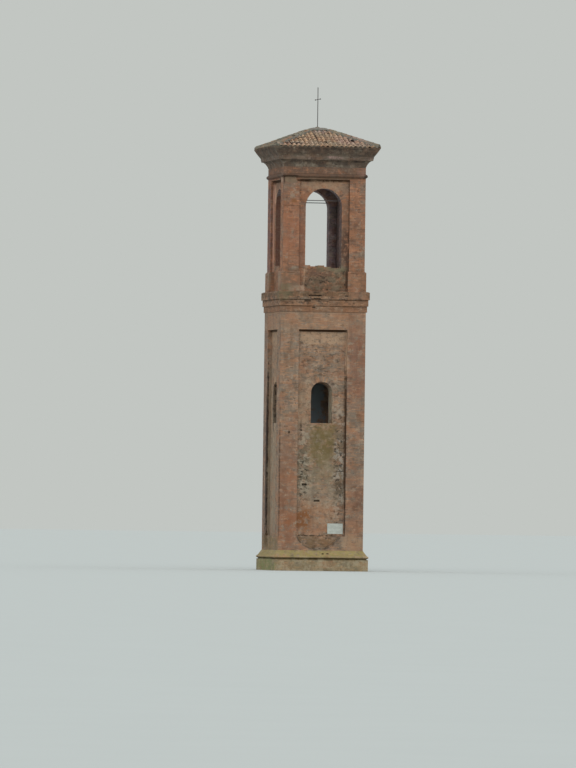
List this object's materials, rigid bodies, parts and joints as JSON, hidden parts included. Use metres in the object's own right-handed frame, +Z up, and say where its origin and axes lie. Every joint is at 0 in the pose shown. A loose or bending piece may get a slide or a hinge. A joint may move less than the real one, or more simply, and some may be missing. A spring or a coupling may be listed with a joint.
{
  "type": "bell tower",
  "caption": "Square hollow brick bell tower: battered plinth, tall panelled shaft, string course, open arched belfry, flared cornice, tiled pyramid roof and iron finial.",
  "frame": {"origin": "middle of the square foot, on the ground", "axes": "+Z up, front face with the plaque towards -Y, +X to its right"},
  "size_m": [5.83, 5.83, 25.93],
  "materials": {
    "brick": "old handmade brick, matt",
    "panel_brick": "weathered brick with stains, matt",
    "parapet_brick": "rough lichened brick, matt",
    "plinth_brick": "brick with ochre lichen, matt",
    "moulded_brick": "moulded brick, grey-brown weathering",
    "roof_tile": "clay barrel tiles, mossy",
    "mortar": "lime mortar, weathered",
    "timber": "old sawn timber",
    "iron": "rusty wrought iron",
    "plaque_stone": "pale honed marble"
  },
  "bodies": {
    "root": {"apex_cap": "mortar", "belfry_arch_back": "brick", "belfry_arch_front": "brick", "belfry_arch_left": "brick", "belfry_arch_right": "brick", "belfry_band": "moulded_brick", "belfry_floor": "timber", "belfry_pier_back_left": "brick", "belfry_pier_back_right": "brick", "belfry_pier_front_left": "brick", "belfry_pier_front_right": "brick", "cornice_bed": "moulded_brick", "cornice_corona": "moulded_brick", "finial_rod": "iron", "floor_beams": "timber", "frieze": "brick", "hip_rafters": "timber", "hip_ridges": "roof_tile", "king_post": "timber", "parapet_back": "parapet_brick", "parapet_front": "parapet_brick", "parapet_left": "parapet_brick", "parapet_right": "parapet_brick", "plaque": "plaque_stone", "plinth_course": "plinth_brick", "plinth_weathering": "plinth_brick", "roof_slope_back": "roof_tile", "roof_slope_front": "roof_tile", "roof_slope_left": "roof_tile", "roof_slope_right": "roof_tile", "shaft_base_band": "brick", "shaft_head_band": "brick", "shaft_pier_back_left": "brick", "shaft_pier_back_right": "brick", "shaft_pier_front_left": "brick", "shaft_pier_front_right": "brick", "shaft_wall_back": "panel_brick", "shaft_wall_front": "panel_brick", "shaft_wall_left": "panel_brick", "shaft_wall_right": "panel_brick", "string_course": "moulded_brick", "tie_bars": "iron", "tie_beam": "timber", "wall_plate": "timber"}
  },
  "joints": []
}
